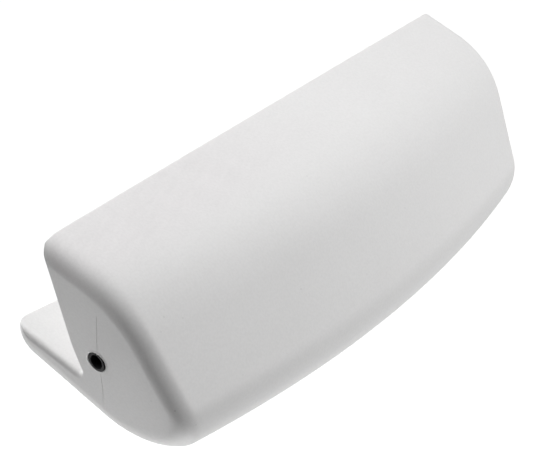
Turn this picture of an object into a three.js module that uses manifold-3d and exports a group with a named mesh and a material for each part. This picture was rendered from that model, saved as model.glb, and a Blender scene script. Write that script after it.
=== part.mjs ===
import * as THREE from "three";
import Module from "manifold-3d";

// Millimetres. The origin is on the rope tunnel's axis at mid length. X runs along the fender,
// the outer face looks to -Y, the notch opens to +Y and the upper leg stands up along Z.
// The section is drawn from the tunnel's axis: "out" is away from the boat, "up" is along Z.
const tunnelLength = 454;

// Each end leans out past the tunnel's mouth by this much for every millimetre out and up.
const endLeanOut = 0.21;
const endLeanUp = 0.26;

// Upper leg: an upright seat above the notch, then a face that leans out to the tip.
const seatOut = -16.1;
const notchUp = -13.3;
const upperSeatTop = 10.4;
const upperTipOut = -7;
const upperTipUp = 80.8;

// Outer face: from the tip over the shoulder to the nose, which bows out by mid length.
const shoulderOut = 38.1;
const shoulderUp = 45.7;
const noseOut = 56.7;
const noseUp = -53.6;
const noseBowOut = 18.8;
const noseBowUp = -7;
const shoulderBowShare = 0.85;

// Keel: the lowest corner of the section, between the nose and the lower leg.
const keelOut = 2.7;
const keelUp = -63.1;
const keelBowOut = -2;
const keelBowUp = -9.5;

// Lower leg: a flat seat at this angle from "out", and a tip that is recessed by mid length.
const lowerSeatAngle = 142.5;
const lowerSeatLength = 56.2;
const lowerTipRecess = 11.8;
const lowerTipOut = -10.9;
const lowerTipUp = -15.5;

// Rounding of the section's corners.
const notchRound = 3;
const upperSeatRound = 60;
const upperTipRound = 2.3;
const shoulderRound = 74;
const noseRound = 25.5;
const keelRound = 57.7;
const lowerTipRound = 19.3;
const lowerSeatRound = 2;

// Rounding of the end edges, along the face that the edge belongs to.
const topEndRound = 15.4;
const outerEndRound = 11.4;
const upperTipEndRound = 1.4;
const bottomEndRound = 13.9;
const upperSeatEndRound = 1.1;
const lowerSeatEndRound = 5.2;

// Rope tube: a liner in the tunnel, with a rounded lip at each mouth. Its mouths lean a little
// differently from the ends.
const tubeBore = 8.5;
const tubeOuter = 12.5;
const tubeGap = 0.3;
const lipHeight = 0.6;
const mouthLeanOut = 0.28;
const mouthLeanUp = 0.15;

// How finely curves are divided.
const endSteps = 6;
const middleSteps = 14;
const tubeSides = 24;
const lipSteps = 3;

const radian = Math.PI / 180;

// Bow of the outer face at a distance from one end: none at the ends, all of it at mid length.
function bowAt(along) {
  const offCentre = (2 * along) / tunnelLength - 1;
  return 1 - offCentre * offCentre;
}

// Corners of the section, clockwise as seen from the -X end. "edge" is the end rounding of the
// face between a corner and the next one, and "steps" divides the corner's arc.
function sectionCorners(bow) {
  const seat = lowerSeatLength - bow * lowerTipRecess;
  const seatTipOut = seatOut + seat * Math.cos(lowerSeatAngle * radian);
  const seatTipUp = notchUp + seat * Math.sin(lowerSeatAngle * radian);
  const shoulderBow = bow * shoulderBowShare;
  return [
    { out: seatOut, up: notchUp, round: notchRound, edge: upperSeatEndRound, steps: 3 },
    { out: seatOut, up: upperSeatTop, round: upperSeatRound, edge: upperTipEndRound, steps: 3 },
    { out: upperTipOut, up: upperTipUp, round: upperTipRound, edge: topEndRound, steps: 4 },
    {
      out: shoulderOut + shoulderBow * noseBowOut,
      up: shoulderUp + shoulderBow * noseBowUp,
      round: shoulderRound,
      edge: outerEndRound,
      steps: 8,
    },
    {
      out: noseOut + bow * noseBowOut,
      up: noseUp + bow * noseBowUp,
      round: noseRound,
      edge: bottomEndRound,
      steps: 8,
    },
    {
      out: keelOut + bow * keelBowOut,
      up: keelUp + bow * keelBowUp,
      round: keelRound,
      edge: bottomEndRound,
      steps: 8,
    },
    {
      out: seatTipOut + lowerTipOut,
      up: seatTipUp + lowerTipUp,
      round: lowerTipRound,
      edge: bottomEndRound,
      steps: 7,
    },
    { out: seatTipOut, up: seatTipUp, round: lowerSeatRound, edge: lowerSeatEndRound, steps: 4 },
  ];
}

// How far an end rounding draws its face in, at a depth from the end.
function drawnIn(round, depth) {
  const left = Math.max(0, round - depth);
  return round - Math.sqrt(round * round - left * left);
}

// The face from each corner to the next: direction, how far it is drawn in and a point on it.
function sectionFaces(corners, depth) {
  return corners.map((corner, index) => {
    const next = corners[(index + 1) % corners.length];
    const length = Math.hypot(next.out - corner.out, next.up - corner.up);
    const alongOut = (next.out - corner.out) / length;
    const alongUp = (next.up - corner.up) / length;
    const inset = drawnIn(corner.edge, depth);
    return {
      alongOut,
      alongUp,
      inset,
      out: corner.out + alongUp * inset,
      up: corner.up - alongOut * inset,
    };
  });
}

// Where a face meets the one before it.
function meetingPoint(before, face) {
  const cross = before.alongOut * face.alongUp - before.alongUp * face.alongOut;
  const gapOut = face.out - before.out;
  const gapUp = face.up - before.up;
  const along = (gapOut * face.alongUp - gapUp * face.alongOut) / cross;
  return [before.out + along * before.alongOut, before.up + along * before.alongUp];
}

// Closed outline of the section as [out, up] points, at a place along the length.
function sectionOutline(along) {
  const corners = sectionCorners(bowAt(along));
  const count = corners.length;
  const faces = sectionFaces(corners, Math.min(along, tunnelLength - along));
  const arcs = corners.map((corner, index) => {
    const before = faces[(index + count - 1) % count];
    const face = faces[index];
    const cross = before.alongOut * face.alongUp - before.alongUp * face.alongOut;
    const turn = Math.atan2(cross, before.alongOut * face.alongOut + before.alongUp * face.alongUp);
    const inset = (before.inset + face.inset) / 2;
    const radius = turn > 0 ? corner.round + inset : Math.max(corner.round - inset, 0.3);
    const reach = radius * Math.tan(Math.abs(turn) / 2);
    return { at: meetingPoint(before, face), before, turn, radius, reach, steps: corner.steps };
  });
  const shares = arcs.map((arc, index) => {
    const next = arcs[(index + 1) % count];
    const length = Math.hypot(next.at[0] - arc.at[0], next.at[1] - arc.at[1]);
    return Math.min(1, (0.98 * length) / (arc.reach + next.reach));
  });
  const outline = [];
  arcs.forEach((arc, index) => {
    const share = Math.min(shares[index], shares[(index + count - 1) % count]);
    const side = Math.sign(arc.turn);
    const { alongOut, alongUp } = arc.before;
    const startOut = arc.at[0] - alongOut * arc.reach * share;
    const startUp = arc.at[1] - alongUp * arc.reach * share;
    const radius = arc.radius * share;
    const centreOut = startOut - alongUp * side * radius;
    const centreUp = startUp + alongOut * side * radius;
    const startAngle = Math.atan2(startUp - centreUp, startOut - centreOut);
    for (let step = 0; step <= arc.steps; step += 1) {
      const angle = startAngle + (arc.turn * step) / arc.steps;
      outline.push([centreOut + radius * Math.cos(angle), centreUp + radius * Math.sin(angle)]);
    }
  });
  return outline;
}

// A point of the section in the object's own axes. The leaning ends stretch the length evenly,
// so the middle stays where it is.
function placed(out, up, along, leanOut = endLeanOut, leanUp = endLeanUp) {
  const offCentre = (2 * along) / tunnelLength - 1;
  const lean = leanOut * out + leanUp * up;
  return [(tunnelLength / 2 + lean) * offCentre, -out, up];
}

// Places along the length: close together in the end roundings, even in between.
function stations() {
  const deepest = Math.max(topEndRound, outerEndRound, bottomEndRound);
  const end = [];
  for (let step = 0; step < endSteps; step += 1) {
    end.push(deepest * (1 - Math.cos((step / endSteps) * (Math.PI / 2))));
  }
  const middle = [];
  for (let step = 0; step <= middleSteps; step += 1) {
    middle.push(deepest + (step / middleSteps) * (tunnelLength - 2 * deepest));
  }
  const farEnd = end.map((along) => tunnelLength - along).reverse();
  return [...end, ...middle, ...farEnd];
}

// A closed solid from rings of equal length. Its ends are covered by the given triangles.
function solidFromRings(wasm, rings, coverTriangles) {
  const size = rings[0].length;
  const last = (rings.length - 1) * size;
  const triangles = [];
  for (let ring = 0; ring + 1 < rings.length; ring += 1) {
    for (let index = 0; index < size; index += 1) {
      const near = ring * size + index;
      const nearNext = ring * size + ((index + 1) % size);
      triangles.push(near, nearNext, near + size);
      triangles.push(nearNext, nearNext + size, near + size);
    }
  }
  coverTriangles.forEach(([first, second, third]) => {
    triangles.push(first, second, third);
    triangles.push(last + first, last + third, last + second);
  });
  const mesh = new wasm.Mesh({
    numProp: 3,
    vertProperties: new Float32Array(rings.flat(2)),
    triVerts: new Uint32Array(triangles),
  });
  return new wasm.Manifold(mesh);
}

// Triangles that cover an outline, turned to face -X.
function outlineCover(outline) {
  const points = outline.map(([out, up]) => new THREE.Vector2(out, up));
  return THREE.ShapeUtils.triangulateShape(points, []).map(([first, second, third]) => {
    const left = points[second].clone().sub(points[first]);
    const right = points[third].clone().sub(points[first]);
    return left.cross(right) > 0 ? [first, second, third] : [first, third, second];
  });
}

// A round bar along the tunnel, of one radius at each listed place.
function tunnelBar(wasm, profile) {
  const circle = (radius) =>
    Array.from({ length: tubeSides }, (_, side) => {
      const angle = (-2 * Math.PI * side) / tubeSides;
      return [radius * Math.cos(angle), radius * Math.sin(angle)];
    });
  const rings = profile.map(([along, radius]) =>
    circle(radius).map(([out, up]) => placed(out, up, along, mouthLeanOut, mouthLeanUp)),
  );
  return solidFromRings(wasm, rings, outlineCover(circle(1)));
}

// One white moulding with the tunnel cut through it.
function fenderBody(wasm) {
  const places = stations();
  const outlines = places.map(sectionOutline);
  const rings = outlines.map((outline, index) =>
    outline.map(([out, up]) => placed(out, up, places[index])),
  );
  const block = solidFromRings(wasm, rings, outlineCover(outlines[0]));
  const past = 20;
  const tunnelRadius = tubeOuter / 2 + tubeGap;
  const tunnel = tunnelBar(wasm, [
    [-past, tunnelRadius],
    [tunnelLength + past, tunnelRadius],
  ]);
  return block.subtract(tunnel);
}

// The liner: its outside ends in a rounded lip at each mouth, and the rope's bore runs through.
function ropeTube(wasm) {
  const wall = (tubeOuter - tubeBore) / 2;
  const lip = [];
  for (let step = 0; step <= lipSteps; step += 1) {
    const angle = (step / lipSteps) * (Math.PI / 2);
    const along = -lipHeight * Math.cos(angle);
    lip.push([along, tubeOuter / 2 - (wall / 2) * (1 - Math.sin(angle))]);
  }
  const farLip = lip.map(([along, radius]) => [tunnelLength - along, radius]).reverse();
  const past = 20;
  const bar = tunnelBar(wasm, [...lip, ...farLip]);
  const bore = tunnelBar(wasm, [
    [-past, tubeBore / 2],
    [tunnelLength + past, tubeBore / 2],
  ]);
  return bar.subtract(bore);
}

// A flat-shaded mesh of a solid.
function meshOf(solid, name, material) {
  const source = solid.getMesh();
  const geometry = new THREE.BufferGeometry();
  geometry.setAttribute("position", new THREE.BufferAttribute(source.vertProperties, 3));
  geometry.setIndex(new THREE.BufferAttribute(source.triVerts, 1));
  const flat = geometry.toNonIndexed();
  flat.computeVertexNormals();
  const mesh = new THREE.Mesh(flat, material);
  mesh.name = name;
  return mesh;
}

const wasm = await Module();
wasm.setup();

const whitePlastic = new THREE.MeshStandardMaterial({
  color: 0xe9e8e6,
  roughness: 0.45,
  metalness: 0,
});
const blackPlastic = new THREE.MeshStandardMaterial({
  color: 0x1b1b1c,
  roughness: 0.5,
  metalness: 0,
});

const fender = new THREE.Group();
fender.name = "stern_fender";
fender.add(meshOf(fenderBody(wasm), "fender_body", whitePlastic));
fender.add(meshOf(ropeTube(wasm), "rope_tube", blackPlastic));

export default fender;
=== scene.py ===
import math

import bpy
from mathutils import Matrix, Vector
from mathutils.bvhtree import BVHTree
from mathutils.geometry import tessellate_polygon


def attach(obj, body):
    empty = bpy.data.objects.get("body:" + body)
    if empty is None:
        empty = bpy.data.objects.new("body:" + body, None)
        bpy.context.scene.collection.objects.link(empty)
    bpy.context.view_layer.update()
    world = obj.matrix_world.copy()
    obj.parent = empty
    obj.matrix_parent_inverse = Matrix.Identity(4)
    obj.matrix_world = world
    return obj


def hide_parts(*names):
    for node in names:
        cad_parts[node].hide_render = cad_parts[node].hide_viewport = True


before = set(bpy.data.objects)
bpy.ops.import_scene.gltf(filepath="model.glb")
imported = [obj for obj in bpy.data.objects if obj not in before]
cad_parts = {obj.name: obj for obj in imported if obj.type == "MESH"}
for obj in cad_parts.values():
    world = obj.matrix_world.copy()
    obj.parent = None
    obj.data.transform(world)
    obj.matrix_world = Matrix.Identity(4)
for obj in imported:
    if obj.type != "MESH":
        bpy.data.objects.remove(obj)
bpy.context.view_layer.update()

MM = 0.001

# The section's driving sizes, in millimetres, are the source's own. "out" is away from the boat,
# along -Y, and "up" is along Z, both from the rope tunnel's axis.
TUNNEL_LENGTH = 454
END_LEAN = (0.21, 0.26)
SEAT_OUT = -16.1
NOTCH_UP = -13.3
UPPER_SEAT_TOP = 10.4
UPPER_TIP = (-7, 80.8)
SHOULDER = (38.1, 45.7)
NOSE = (56.7, -53.6)
NOSE_BOW = (18.8, -7)
SHOULDER_BOW_SHARE = 0.85
KEEL = (2.7, -63.1)
KEEL_BOW = (-2, -9.5)
LOWER_SEAT_ANGLE = 142.5
LOWER_SEAT_LENGTH = 56.2
LOWER_TIP_RECESS = 11.8
LOWER_TIP = (-10.9, -15.5)
TUBE_BORE = 8.5
TUBE_OUTER = 12.5
TUBE_GAP = 0.3
MOUTH_LEAN = (0.28, 0.15)

# Roundings of the section's corners, and of the end edges along the face after each corner.
ROUNDS = (3, 60, 2.3, 74, 25.5, 57.7, 19.3, 2)
END_ROUNDS = (1.1, 1.4, 15.4, 11.4, 13.9, 13.9, 13.9, 5.2)
ARC_STEPS = (12, 10, 12, 28, 28, 28, 24, 12)
END_STEPS = 22
MIDDLE_STEPS = 56
ROUND_SIDES = 72


def bow_at(along):
    """Bow of the outer face: none at the ends, all of it at mid length."""
    off_centre = 2 * along / TUNNEL_LENGTH - 1
    return 1 - off_centre * off_centre


def section_corners(bow):
    """Corners of the section as (out, up), clockwise as seen from the -X end."""
    seat = LOWER_SEAT_LENGTH - bow * LOWER_TIP_RECESS
    angle = math.radians(LOWER_SEAT_ANGLE)
    seat_tip = Vector((SEAT_OUT + seat * math.cos(angle), NOTCH_UP + seat * math.sin(angle)))
    nose_bow = bow * Vector(NOSE_BOW)
    return [
        Vector((SEAT_OUT, NOTCH_UP)),
        Vector((SEAT_OUT, UPPER_SEAT_TOP)),
        Vector(UPPER_TIP),
        Vector(SHOULDER) + SHOULDER_BOW_SHARE * nose_bow,
        Vector(NOSE) + nose_bow,
        Vector(KEEL) + bow * Vector(KEEL_BOW),
        seat_tip + Vector(LOWER_TIP),
        seat_tip,
    ]


def drawn_in(rounding, depth):
    """How far an end rounding draws its face in, at a depth from the end."""
    left = max(0.0, rounding - depth)
    return rounding - math.sqrt(rounding * rounding - left * left)


def cross(first, second):
    return first.x * second.y - first.y * second.x


def section_outline(along, extra_inset=0.0):
    """Closed outline of the section at a place along the length, as (out, up) points."""
    corners = section_corners(bow_at(along))
    count = len(corners)
    depth = min(along, TUNNEL_LENGTH - along)
    faces = []
    for index, corner in enumerate(corners):
        direction = (corners[(index + 1) % count] - corner).normalized()
        inset = drawn_in(END_ROUNDS[index], depth) + extra_inset
        point = corner + inset * Vector((direction.y, -direction.x))
        faces.append((direction, inset, point))
    arcs = []
    for index in range(count):
        before, before_inset, before_point = faces[index - 1]
        direction, inset, point = faces[index]
        along_before = cross(point - before_point, direction) / cross(before, direction)
        meeting = before_point + along_before * before
        turn = math.atan2(cross(before, direction), before.dot(direction))
        mean_inset = (before_inset + inset) / 2
        radius = ROUNDS[index] + mean_inset if turn > 0 else max(ROUNDS[index] - mean_inset, 0.3)
        arcs.append((meeting, before, turn, radius, radius * math.tan(abs(turn) / 2)))
    shares = []
    for index in range(count):
        following = arcs[(index + 1) % count]
        length = (following[0] - arcs[index][0]).length
        shares.append(min(1.0, 0.98 * length / (arcs[index][4] + following[4])))
    outline = []
    for index, (meeting, before, turn, radius, reach) in enumerate(arcs):
        share = min(shares[index], shares[index - 1])
        side = math.copysign(1, turn)
        start = meeting - before * reach * share
        centre = start + Vector((-before.y, before.x)) * side * radius * share
        spoke = start - centre
        for step in range(ARC_STEPS[index] + 1):
            angle = turn * step / ARC_STEPS[index]
            outline.append(centre + Matrix.Rotation(angle, 2) @ spoke)
    return outline


def placed(point, along, end_lean=END_LEAN):
    """A section point in the object's own axes, in metres, with the ends leaning."""
    off_centre = 2 * along / TUNNEL_LENGTH - 1
    lean = end_lean[0] * point[0] + end_lean[1] * point[1]
    return Vector(((TUNNEL_LENGTH / 2 + lean) * off_centre, -point[0], point[1])) * MM


def stations():
    """Places along the length: close together in the end roundings, even in between."""
    deepest = max(END_ROUNDS)
    end = [deepest * (1 - math.cos(step / END_STEPS * math.pi / 2)) for step in range(END_STEPS)]
    span = TUNNEL_LENGTH - 2 * deepest
    middle = [deepest + step / MIDDLE_STEPS * span for step in range(MIDDLE_STEPS + 1)]
    return end + middle + [TUNNEL_LENGTH - along for along in reversed(end)]


def new_piece(name, vertices, faces, material):
    """A smooth mesh piece that rides on the part's one body."""
    mesh = bpy.data.meshes.new(name)
    mesh.from_pydata(vertices, [], faces)
    mesh.validate()
    mesh.polygons.foreach_set("use_smooth", [True] * len(mesh.polygons))
    mesh.materials.append(material)
    piece = bpy.data.objects.new(name, mesh)
    bpy.context.scene.collection.objects.link(piece)
    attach(piece, "root")
    return piece


def circle(radius, sides=ROUND_SIDES):
    """Clockwise circle about the tunnel's axis, as (out, up) points."""
    angles = [-2 * math.pi * side / sides for side in range(sides)]
    return [Vector((radius * math.cos(angle), radius * math.sin(angle))) for angle in angles]


def loft(rings):
    """Vertices and side faces between rings of equal length."""
    size = len(rings[0])
    vertices = [point for ring in rings for point in ring]
    faces = []
    for ring in range(len(rings) - 1):
        for index in range(size):
            near = ring * size + index
            near_next = ring * size + (index + 1) % size
            faces.append((near, near_next, near_next + size, near + size))
    return vertices, faces


def end_cover(outer, inner, outer_start, inner_start, faces_near):
    """Triangles between an outline and the round opening inside it."""
    points = [Vector((p.x, p.y, 0)) for p in outer]
    opening = [Vector((p.x, p.y, 0)) for p in inner]
    both = points + opening
    faces = []
    for triangle in tessellate_polygon([points, opening]):
        first, second, third = (both[i] for i in triangle)
        anticlockwise = cross((second - first).to_2d(), (third - first).to_2d()) > 0
        order = triangle if anticlockwise == faces_near else tuple(reversed(triangle))
        count = len(outer)
        faces.append(tuple(
            outer_start + i if i < count else inner_start + i - count for i in order
        ))
    return faces


# The flat cover of each end starts this far inside the end's outline, and stops at this radius
# round the tunnel. Inside that, a raised lip runs down into the tunnel, as (radius, depth).
COVER_INSET = 0.5
MOUTH_GUARD = 8.4
MOUTH_PROFILE = ((7.6, 0.0), (7.35, -0.18), (7.05, -0.3), (6.75, -0.3), (6.5, -0.16), (6.35, 0.12))
TUNNEL_WALL_DEPTHS = (0.6, 3.0)


def moulding_shape():
    """Vertices and faces of a fine loft with rounded ends and a raised lip at each mouth."""
    cover = section_outline(0, COVER_INSET)
    far_cover = section_outline(TUNNEL_LENGTH, COVER_INSET)
    rings = [[placed(p, 0) for p in cover]]
    rings += [[placed(p, along) for p in section_outline(along)] for along in stations()]
    rings += [[placed(p, TUNNEL_LENGTH) for p in far_cover]]
    vertices, faces = loft(rings)
    near_lip = [(MOUTH_GUARD, 0.0)] + list(MOUTH_PROFILE)
    radius = TUBE_OUTER / 2 + TUBE_GAP
    profile = near_lip + [(radius, depth) for depth in TUNNEL_WALL_DEPTHS]
    far_profile = [(r, TUNNEL_LENGTH - along) for r, along in reversed(profile)]
    bore_rings = [[placed(p, along) for p in circle(r)] for r, along in profile + far_profile]
    bore_vertices, bore_faces = loft(bore_rings)
    start = len(vertices)
    vertices += bore_vertices
    faces += [tuple(start + i for i in reversed(face)) for face in bore_faces]
    mouth = circle(MOUTH_GUARD)
    far_outer = (len(rings) - 1) * len(cover)
    far_inner = start + (len(bore_rings) - 1) * len(mouth)
    faces += end_cover(cover, mouth, 0, start, True)
    faces += end_cover(cover, mouth, far_outer, far_inner, False)
    return vertices, faces


# The liner's lip, from its outside to its bore, as (radius, height over the mouth's plane).
LIP_PROFILE = (
    (6.25, 0.0), (6.25, 0.24), (6.22, 0.34), (6.14, 0.4), (6.0, 0.42), (5.5, 0.42), (5.1, 0.42),
    (4.9, 0.44), (4.75, 0.43), (4.6, 0.34), (4.48, 0.18), (4.35, -0.1), (4.25, -0.5),
)
# A ring this deep in the tube holds the lip's shading crisp.
LINER_RING_DEPTH = 3.0
# The nick in the near mouth's lip, in degrees.
NICK_ANGLE = 61
NICK_WIDTH = 7


def lip_ring(radius, height, far):
    """One ring of a liner's lip. The near mouth has a small nick."""
    ring = []
    for point in circle(radius):
        off_nick = math.degrees(math.atan2(point.y, point.x)) - NICK_ANGLE
        nick = 0 if far else math.exp(-((off_nick / NICK_WIDTH) ** 2))
        proud = height * (1 - nick) if height > 0 else height
        along = TUNNEL_LENGTH + proud if far else -proud
        ring.append(placed(point, along, MOUTH_LEAN))
    return ring


def tunnel_liner(material):
    """The black liner: a thin tube that ends in a rounded lip at each mouth."""
    outside = (TUBE_OUTER / 2, -LINER_RING_DEPTH)
    inside = (TUBE_BORE / 2, -LINER_RING_DEPTH)
    profile = (outside,) + LIP_PROFILE + (inside,)
    near = [lip_ring(radius, height, False) for radius, height in profile]
    far = [lip_ring(radius, height, True) for radius, height in profile]
    rings = near + far[::-1]
    vertices, faces = loft(rings + [rings[0]])
    count = len(vertices) - ROUND_SIDES
    vertices = vertices[:count]
    faces = [tuple(index % count for index in reversed(face)) for face in faces]
    piece = new_piece("tunnel_liner", vertices, faces, material)
    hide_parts("rope_tube")
    return piece


# The seam of the mould crosses each end face through the tunnel, as (out, up) points.
SEAMS = {
    "upper": ((2.65, 4.8), (3.9, 7.8), (7.4, 15.2), (11.0, 22.7), (15.6, 32.2)),
    "lower": ((-1.2, -8.4), (-3.9, -17.0), (-7.4, -25.4), (-11.6, -34.8)),
}
SEAM_STEPS = 40
SEAM_HALF_WIDTH = 0.42
SEAM_HEIGHT = 0.3
# The bead's sides start this far below the face, its root lies deeper, and its ends fade out
# over this share of its length.
SEAM_SINK = 0.02
SEAM_ROOT = 0.3
SEAM_FADE = 0.04
SEAM_SHARES = (-1.0, -0.7, -0.35, 0.0, 0.35, 0.7, 1.0)


def smooth_path(points, steps):
    """Evenly spaced points on a smooth curve through a few given ones."""
    path = []
    last = len(points) - 1
    for step in range(steps + 1):
        place = step / steps * last
        index = min(int(place), last - 1)
        share = place - index
        before, first, second, after = (
            Vector(points[min(max(index + offset, 0), last)]) for offset in (-1, 0, 1, 2)
        )
        path.append(0.5 * (
            2 * first
            + share * (second - before)
            + share ** 2 * (2 * before - 5 * first + 4 * second - after)
            + share ** 3 * (3 * first - before - 3 * second + after)
        ))
    return path


def seam_bead(name, material, points, far):
    """A fine raised seam on an end face, fading out at both of its ends."""
    path = smooth_path(points, SEAM_STEPS)
    rings = []
    for step, point in enumerate(path):
        ahead = path[min(step + 1, SEAM_STEPS)] - path[max(step - 1, 0)]
        across = Vector((-ahead.y, ahead.x)).normalized()
        along_bead = SEAM_FADE + (1 - 2 * SEAM_FADE) * step / SEAM_STEPS
        swell = math.sqrt(math.sin(math.pi * along_bead))
        ring = []
        for share in SEAM_SHARES:
            height = SEAM_HEIGHT * swell * (1 - share * share) - SEAM_SINK
            ring.append((point + across * share * SEAM_HALF_WIDTH * swell, height))
        ring.append((point, -SEAM_ROOT))
        heights = [TUNNEL_LENGTH + h if far else -h for _, h in ring]
        rings.append([placed(p, along) for (p, _), along in zip(ring, heights)])
    vertices, faces = loft(rings)
    size = len(rings[0])
    faces.append(tuple(reversed(range(size))))
    faces.append(tuple(range(len(vertices) - size, len(vertices))))
    if far:
        faces = [tuple(reversed(face)) for face in faces]
    return new_piece(name, vertices, faces, material)


def node_material(name):
    material = bpy.data.materials.new(name)
    material.use_nodes = True
    nodes = material.node_tree.nodes
    return material, nodes, material.node_tree.links, nodes["Principled BSDF"]


def add_noise(nodes, links, place, scale, detail):
    noise = nodes.new("ShaderNodeTexNoise")
    noise.inputs["Scale"].default_value = scale
    noise.inputs["Detail"].default_value = detail
    links.new(place, noise.inputs["Vector"])
    return noise.outputs["Fac"]


def add_range(nodes, links, value, start, stop, low, high):
    """Maps start..stop smoothly to low..high."""
    ramp = nodes.new("ShaderNodeMapRange")
    ramp.interpolation_type = "SMOOTHSTEP"
    ramp.inputs["From Min"].default_value = start
    ramp.inputs["From Max"].default_value = stop
    ramp.inputs["To Min"].default_value = low
    ramp.inputs["To Max"].default_value = high
    links.new(value, ramp.inputs["Value"])
    return ramp.outputs["Result"]


def add_math(nodes, links, operation, first, second):
    math_node = nodes.new("ShaderNodeMath")
    math_node.operation = operation
    for socket, value in zip(math_node.inputs, (first, second)):
        if isinstance(value, (int, float)):
            socket.default_value = value
        else:
            links.new(value, socket)
    return math_node.outputs["Value"]


def add_dot(nodes, links, place, direction):
    dot = nodes.new("ShaderNodeVectorMath")
    dot.operation = "DOT_PRODUCT"
    links.new(place, dot.inputs[0])
    dot.inputs[1].default_value = direction
    return dot.outputs["Value"]


# The few dark specks in the skin, read off the photograph as pixels from its top left corner,
# with radii in millimetres.
SPECKS = (
    ((151, 401), 0.55), ((175, 411), 0.6), ((196, 425), 0.5), ((164, 317), 0.45),
    ((183, 318), 0.45), ((161, 332), 0.4), ((301, 289), 0.5), ((243, 375), 0.4),
    ((307, 176), 0.5), ((367, 274), 0.4), ((405, 208), 0.45),
)


def place_specks(surface, camera):
    """The specks' places on a surface, where the camera sees them, with their radii."""
    eye = camera.matrix_world.translation
    turn = camera.matrix_world.to_3x3()
    placed_specks = []
    for (across, down), radius in SPECKS:
        ray = turn @ Vector((across - IMAGE_WIDTH / 2, IMAGE_HEIGHT / 2 - down, -FOCAL_PIXELS))
        point = surface.ray_cast(eye, ray.normalized())[0]
        if point:
            placed_specks.append((point, radius))
    return placed_specks


def add_specks(nodes, links, place, specks):
    """One on a speck, zero elsewhere."""
    total = 0.0
    for point, radius in specks:
        gap = nodes.new("ShaderNodeVectorMath")
        gap.operation = "DISTANCE"
        links.new(place, gap.inputs[0])
        gap.inputs[1].default_value = point
        spot = add_range(nodes, links, gap.outputs["Value"], 0.3 * radius * MM, radius * MM, 1, 0)
        total = add_math(nodes, links, "MAXIMUM", spot, total)
    return total


# The vinyl's darkest and lightest tone, and how finely its textures are drawn.
VINYL_DARK = (0.806, 0.802, 0.799, 1)
VINYL_LIGHT = (0.832, 0.828, 0.826, 1)
MOTTLE_SCALE = 14
DARKENING_SCALE = 45
GRAIN_SCALE = 620
SKIN_SCALE = 900
# The wipe marks are long in the first direction and close together in the second.
MARKS_LENGTHWAYS = (38.0, 8.3, 5.9)
MARKS_CROSSWAYS = (-62.0, 188.0, 134.0)
# How much each texture lightens or darkens the tone.
MARKS_CHANGE = 0.008
# The blotchy darkening of the tone over the top strip's near end, at its most and at its least.
DARKENING_MOST = -0.064
DARKENING_LEAST = -0.044
GRAIN_CHANGE = 0.022
SPECK_CHANGE = -0.3
# The marked patch is very slightly warmer than the rest.
MARKS_TINT = (1, 0.988, 0.994, 1)
# The liner's darkest and lightest tone.
LINER_DARK = (0.008, 0.008, 0.009, 1)
LINER_LIGHT = (0.018, 0.018, 0.019, 1)
LINER_GRAIN_SCALE = 500


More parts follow.
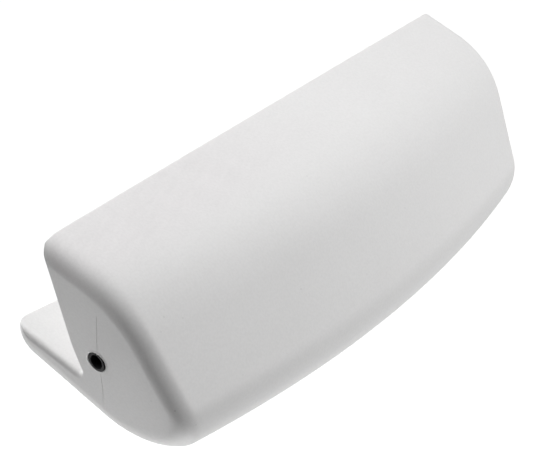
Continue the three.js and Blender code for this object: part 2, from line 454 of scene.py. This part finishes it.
def white_vinyl(speck_places):
    """Soft white vinyl: satin, faintly mottled, with a fine skin, wipe marks and a few specks."""
    material, nodes, links, shader = node_material("white_vinyl")
    shader.inputs["Specular IOR Level"].default_value = 0.4
    place = nodes.new("ShaderNodeTexCoord").outputs["Object"]
    mottle = add_noise(nodes, links, place, MOTTLE_SCALE, 5)
    tone = nodes.new("ShaderNodeValToRGB")
    tone.color_ramp.elements[0].position = 0.3
    tone.color_ramp.elements[0].color = VINYL_DARK
    tone.color_ramp.elements[1].position = 0.7
    tone.color_ramp.elements[1].color = VINYL_LIGHT
    links.new(mottle, tone.inputs["Fac"])

    # Faint wipe marks run nearly lengthways over the top strip's near end, and a blotchy darkening
    # of the tone lies over the same patch.
    # Its limits are in metres along each axis.
    marks_place = nodes.new("ShaderNodeCombineXYZ")
    lengthways = add_dot(nodes, links, place, MARKS_LENGTHWAYS)
    crossways = add_dot(nodes, links, place, MARKS_CROSSWAYS)
    links.new(lengthways, marks_place.inputs["X"])
    links.new(crossways, marks_place.inputs["Y"])
    marks = add_noise(nodes, links, marks_place.outputs["Vector"], 1, 3)
    apart = nodes.new("ShaderNodeSeparateXYZ")
    links.new(place, apart.inputs["Vector"])
    high_up = add_range(nodes, links, apart.outputs["Z"], 0.045, 0.065, 0, 1)
    near_end = add_range(nodes, links, apart.outputs["X"], -0.12, 0.05, 1, 0.2)
    outer_side = add_range(nodes, links, apart.outputs["Y"], 0.002, 0.007, 1, 0)
    marked = add_math(nodes, links, "MULTIPLY", high_up, near_end)
    marked = add_math(nodes, links, "MULTIPLY", marked, outer_side)
    marks_tone = add_range(nodes, links, marks, 0.3, 0.7, -MARKS_CHANGE, MARKS_CHANGE)
    # A blotchy darkening of the base colour over the top strip's near end; it leaves the finish as
    # it is.
    blotches = add_noise(nodes, links, place, DARKENING_SCALE, 2)
    darkening = add_range(nodes, links, blotches, 0.3, 0.7, DARKENING_MOST, DARKENING_LEAST)
    marks_share = add_math(nodes, links, "MULTIPLY", marks_tone, marked)
    darkening_share = add_math(nodes, links, "MULTIPLY", darkening, marked)

    skin = add_noise(nodes, links, place, SKIN_SCALE, 3)
    fine = add_noise(nodes, links, place, GRAIN_SCALE, 2)
    grain = add_range(nodes, links, fine, 0.25, 0.75, -GRAIN_CHANGE, GRAIN_CHANGE)
    specks = add_specks(nodes, links, place, speck_places)
    dimmed = add_math(nodes, links, "MULTIPLY", specks, SPECK_CHANGE)
    gain = 1
    for change in (marks_share, darkening_share, grain, dimmed):
        gain = add_math(nodes, links, "ADD", change, gain)
    toned = nodes.new("ShaderNodeVectorMath")
    toned.operation = "SCALE"
    links.new(tone.outputs["Color"], toned.inputs[0])
    links.new(gain, toned.inputs["Scale"])
    tint = nodes.new("ShaderNodeMix")
    tint.data_type = "RGBA"
    tint.inputs["A"].default_value = (1, 1, 1, 1)
    tint.inputs["B"].default_value = MARKS_TINT
    links.new(marked, tint.inputs["Factor"])
    tinted = nodes.new("ShaderNodeVectorMath")
    tinted.operation = "MULTIPLY"
    links.new(toned.outputs["Vector"], tinted.inputs[0])
    links.new(tint.outputs["Result"], tinted.inputs[1])
    links.new(tinted.outputs["Vector"], shader.inputs["Base Color"])

    roughness = add_range(nodes, links, mottle, 0.3, 0.7, 0.42, 0.52)
    wiped = add_math(nodes, links, "MULTIPLY", marks_share, 1.5)
    links.new(add_math(nodes, links, "SUBTRACT", roughness, wiped), shader.inputs["Roughness"])
    bump = nodes.new("ShaderNodeBump")
    bump.inputs["Strength"].default_value = 0.08
    bump.inputs["Distance"].default_value = 0.0002
    links.new(skin, bump.inputs["Height"])
    links.new(bump.outputs["Normal"], shader.inputs["Normal"])
    return material


def black_plastic():
    """Black plastic liner with a dull satin finish and a fine grain."""
    material, nodes, links, shader = node_material("black_plastic")
    shader.inputs["Specular IOR Level"].default_value = 0.06
    place = nodes.new("ShaderNodeTexCoord").outputs["Object"]
    grain = add_noise(nodes, links, place, LINER_GRAIN_SCALE, 3)
    tone = nodes.new("ShaderNodeValToRGB")
    tone.color_ramp.elements[0].color = LINER_DARK
    tone.color_ramp.elements[1].color = LINER_LIGHT
    links.new(grain, tone.inputs["Fac"])
    links.new(tone.outputs["Color"], shader.inputs["Base Color"])
    links.new(add_range(nodes, links, grain, 0, 1, 0.4, 0.55), shader.inputs["Roughness"])
    bump = nodes.new("ShaderNodeBump")
    bump.inputs["Strength"].default_value = 0.1
    bump.inputs["Distance"].default_value = 0.0001
    links.new(grain, bump.inputs["Height"])
    links.new(bump.outputs["Normal"], shader.inputs["Normal"])
    return material


# The camera looks from a little above at the near end and the outer face, and is rolled so that
# the fender leans as it does in the photograph.
CAMERA_AT = Vector((-1.1505, -0.7316, 0.4088))
CAMERA_FORWARD = Vector((0.80241, 0.5228, -0.28777))
CAMERA_ROLL = 10.574
FOCAL_PIXELS = 2216.9
IMAGE_WIDTH = 540
IMAGE_HEIGHT = 463
SENSOR_WIDTH = 36


def add_camera():
    data = bpy.data.cameras.new("camera")
    data.sensor_fit = "HORIZONTAL"
    data.sensor_width = SENSOR_WIDTH
    data.lens = SENSOR_WIDTH * FOCAL_PIXELS / IMAGE_WIDTH
    data.clip_end = 50
    camera = bpy.data.objects.new("camera", data)
    bpy.context.scene.collection.objects.link(camera)
    upright = CAMERA_FORWARD.to_track_quat("-Z", "Y").to_matrix()
    roll = Matrix.Rotation(math.radians(-CAMERA_ROLL), 3, "Z")
    camera.matrix_world = Matrix.Translation(CAMERA_AT) @ (upright @ roll).to_4x4()
    bpy.context.scene.camera = camera
    return camera


FLOOR_Z = -0.45
FLOOR_HALF = 6
# Soft round lamps as (name, bearing from the outer face towards +X, height angle, distance,
# size, watts).
LIGHTS = (
    ("overhead", 0, 90, 1.3, 1.0, 4.1),
    ("high_front", 10, 60, 1.3, 1.0, 2.2),
    ("high_behind", 210, 55, 1.3, 1.0, 6.4),
    ("high_near_end", 266, 55, 1.3, 1.0, 5.2),
    ("behind", 165, 25, 1.3, 1.0, 8.8),
    ("far_side", 62, 30, 1.3, 1.0, 2.4),
    ("front", 12, 0, 1.3, 0.7, 7.1),
    ("far_end", 70, 0, 1.3, 0.7, 1.0),
    ("low_behind", 210, -30, 0.6, 0.3, 0.52),
    ("low_front", 320, -50, 0.6, 0.3, 0.06),
    ("below_near_end", 262, -60, 0.38, 0.25, 0.5),
)


def add_lights():
    for name, bearing, height, distance, size, watts in LIGHTS:
        data = bpy.data.lights.new(name, "AREA")
        data.shape = "DISK"
        data.size = size
        data.energy = watts
        light = bpy.data.objects.new(name, data)
        light.visible_camera = False
        bpy.context.scene.collection.objects.link(light)
        turn = math.radians(bearing)
        rise = math.radians(height)
        level = math.cos(rise)
        towards = Vector((math.sin(turn) * level, -math.cos(turn) * level, math.sin(rise)))
        light.location = towards * distance
        light.rotation_euler = (-towards).to_track_quat("-Z", "Y").to_euler()


def background_rays(nodes, links):
    """One for rays from the camera and for glossy and clear surfaces, zero for all others."""
    path = nodes.new("ShaderNodeLightPath").outputs
    shiny = add_math(
        nodes, links, "MAXIMUM", path["Is Glossy Ray"], path["Is Transmission Ray"]
    )
    return add_math(nodes, links, "MAXIMUM", path["Is Camera Ray"], shiny)


def add_floor():
    """A plain floor that shows white to the camera, apart from the object's shadow.

    Its own colour is darker, so that it throws little light up at the object.
    """
    half = FLOOR_HALF
    corners = [(-half, -half, 0), (half, -half, 0), (half, half, 0), (-half, half, 0)]
    mesh = bpy.data.meshes.new("floor")
    mesh.from_pydata(corners, [], [(0, 1, 2, 3)])
    floor = bpy.data.objects.new("floor", mesh)
    floor.location.z = FLOOR_Z
    bpy.context.scene.collection.objects.link(floor)
    material, nodes, links, shader = node_material("pale_floor")
    shader.inputs["Base Color"].default_value = (0.25, 0.25, 0.25, 1)
    shader.inputs["Roughness"].default_value = 0.9
    shader.inputs["Emission Color"].default_value = (1, 1, 1, 1)
    place = nodes.new("ShaderNodeTexCoord")
    distance = nodes.new("ShaderNodeVectorMath")
    distance.operation = "LENGTH"
    links.new(place.outputs["Object"], distance.inputs[0])
    # The glow is weaker right below the object, where its shadow falls.
    glow = add_range(nodes, links, distance.outputs["Value"], 0.1, 0.4, 0.6, 1)
    shown = add_math(nodes, links, "MULTIPLY", glow, background_rays(nodes, links))
    links.new(shown, shader.inputs["Emission Strength"])
    mesh.materials.append(material)


def add_world():
    """Plain white where the camera or a reflection sees it, and no light of its own."""
    world = bpy.data.worlds.new("world")
    world.use_nodes = True
    nodes = world.node_tree.nodes
    links = world.node_tree.links
    background = nodes["Background"]
    background.inputs["Color"].default_value = (1, 1, 1, 1)
    links.new(background_rays(nodes, links), background.inputs["Strength"])
    bpy.context.scene.world = world


bpy.context.scene.view_settings.view_transform = "Standard"
camera = add_camera()
add_lights()
add_floor()
add_world()
moulding_vertices, moulding_faces = moulding_shape()
moulding_surface = BVHTree.FromPolygons(moulding_vertices, moulding_faces)
vinyl = white_vinyl(place_specks(moulding_surface, camera))
moulding = new_piece(
    "fender_moulding", moulding_vertices, moulding_faces, vinyl
)
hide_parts("fender_body")
tunnel_liner(black_plastic())
for part, points in SEAMS.items():
    seam_bead("seam_near_" + part, vinyl, points, False)
    seam_bead("seam_far_" + part, vinyl, points, True)
